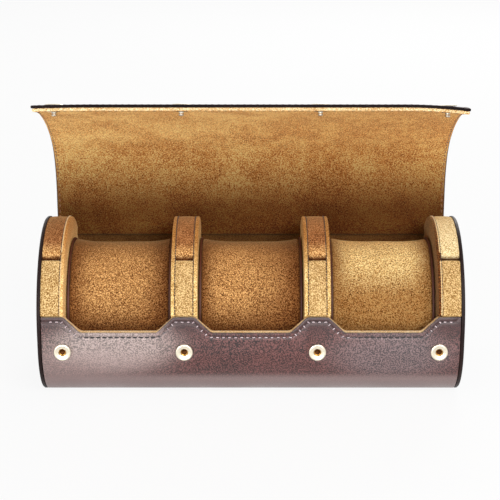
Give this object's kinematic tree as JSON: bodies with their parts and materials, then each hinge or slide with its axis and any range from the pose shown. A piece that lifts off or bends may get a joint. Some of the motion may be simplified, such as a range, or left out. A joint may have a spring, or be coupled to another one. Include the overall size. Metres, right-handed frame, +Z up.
{
  "type": "watch travel case",
  "caption": "Rounded leather travel roll for watches with suede-lined curling lid, padded dividers, lift-out pillows and press studs.",
  "frame": {"origin": "middle of the flat that the case stands on", "axes": "+X along the case, the open front faces -Y, +Z up"},
  "size_m": [0.21, 0.0945, 0.1535],
  "materials": {
    "leather": "smooth, dark purple-brown, satin",
    "board": "grey board",
    "lining": "golden brown microsuede",
    "suede": "golden tan microsuede over padding",
    "panel": "thin dark brown leather",
    "foam": "firm foam",
    "snap_metal": "pale gold plate",
    "thread": "twisted sewing thread"
  },
  "bodies": {
    "case": {"wrap_leather": "leather", "wrap_board": "board", "wrap_lining": "lining", "hinge_fold": "leather", "left_cap_leather": "leather", "left_cap_board": "board", "right_cap_leather": "leather", "right_cap_board": "board", "left_end_core": "foam", "left_end_head_pad": "suede", "left_end_post_pad": "suede", "left_mid_core": "foam", "left_mid_head_pad": "suede", "left_mid_post_pad": "suede", "right_mid_core": "foam", "right_mid_head_pad": "suede", "right_mid_post_pad": "suede", "right_end_core": "foam", "right_end_head_pad": "suede", "right_end_post_pad": "suede", "left_end_plate": "suede", "left_mid_plate_outer": "suede", "left_mid_plate_inner": "suede", "right_mid_plate_inner": "suede", "right_mid_plate_outer": "suede", "right_end_plate": "suede", "front_snap_sockets": "snap_metal", "front_snap_washers": "snap_metal"},
    "lid_1": {"lid_leather_1": "leather", "lid_board_1": "board", "lid_lining_1": "lining"},
    "lid_2": {"lid_leather_2": "leather", "lid_board_2": "board", "lid_lining_2": "lining"},
    "lid_3": {"lid_leather_3": "leather", "lid_board_3": "board", "lid_lining_3": "lining"},
    "lid_4": {"lid_leather_4": "leather", "lid_board_4": "board", "lid_lining_4": "lining"},
    "lid_5": {"lid_leather_5": "leather", "lid_board_5": "board", "lid_lining_5": "lining", "lid_snap_posts": "snap_metal", "lid_snap_caps": "snap_metal"},
    "left_pillow": {"left_pillow_cover": "suede", "left_pillow_filling": "foam", "left_pillow_left_panel": "panel", "left_pillow_right_panel": "panel"},
    "middle_pillow": {"middle_pillow_cover": "suede", "middle_pillow_filling": "foam", "middle_pillow_left_panel": "panel", "middle_pillow_right_panel": "panel"},
    "right_pillow": {"right_pillow_cover": "suede", "right_pillow_filling": "foam", "right_pillow_left_panel": "panel", "right_pillow_right_panel": "panel"}
  },
  "joints": [
    {"name": "lid_hinge", "type": "hinge", "parent": "case", "child": "lid_1", "pos_m": [0, 0.033, 0.071], "axis": [-1, 0, 0], "range_deg": [-55.1, 60], "deforming": ["hinge_fold"]},
    {"name": "lid_bend_low", "type": "hinge", "parent": "lid_1", "child": "lid_2", "pos_m": [0, 0.033, 0.088], "axis": [-1, 0, 0], "range_deg": [-7.6, 0]},
    {"name": "lid_bend_mid", "type": "hinge", "parent": "lid_2", "child": "lid_3", "pos_m": [0, 0.0167, 0.12068], "axis": [-1, 0, 0], "range_deg": [-4.5, 0]},
    {"name": "lid_curl", "type": "hinge", "parent": "lid_3", "child": "lid_4", "pos_m": [0, -0.00438, 0.13408], "axis": [-1, 0, 0], "range_deg": [-26.8, 0]},
    {"name": "lid_bend_tip", "type": "hinge", "parent": "lid_4", "child": "lid_5", "pos_m": [0, -0.02626, 0.14389], "axis": [-1, 0, 0], "range_deg": [-10.7, 0]},
    {"name": "left_pillow_lift", "type": "slide", "parent": "case", "child": "left_pillow", "axis": [0, -0.4226, 0.9063], "range_m": [0, 0.078]},
    {"name": "middle_pillow_lift", "type": "slide", "parent": "case", "child": "middle_pillow", "axis": [0, -0.4226, 0.9063], "range_m": [0, 0.078]},
    {"name": "right_pillow_lift", "type": "slide", "parent": "case", "child": "right_pillow", "axis": [0, -0.4226, 0.9063], "range_m": [0, 0.078]}
  ],
  "couplings": [
    {"joint": "lid_bend_low", "follows": "lid_curl", "ratio": 0.2835},
    {"joint": "lid_bend_mid", "follows": "lid_curl", "ratio": 0.1679},
    {"joint": "lid_bend_tip", "follows": "lid_curl", "ratio": 0.3992}
  ]
}
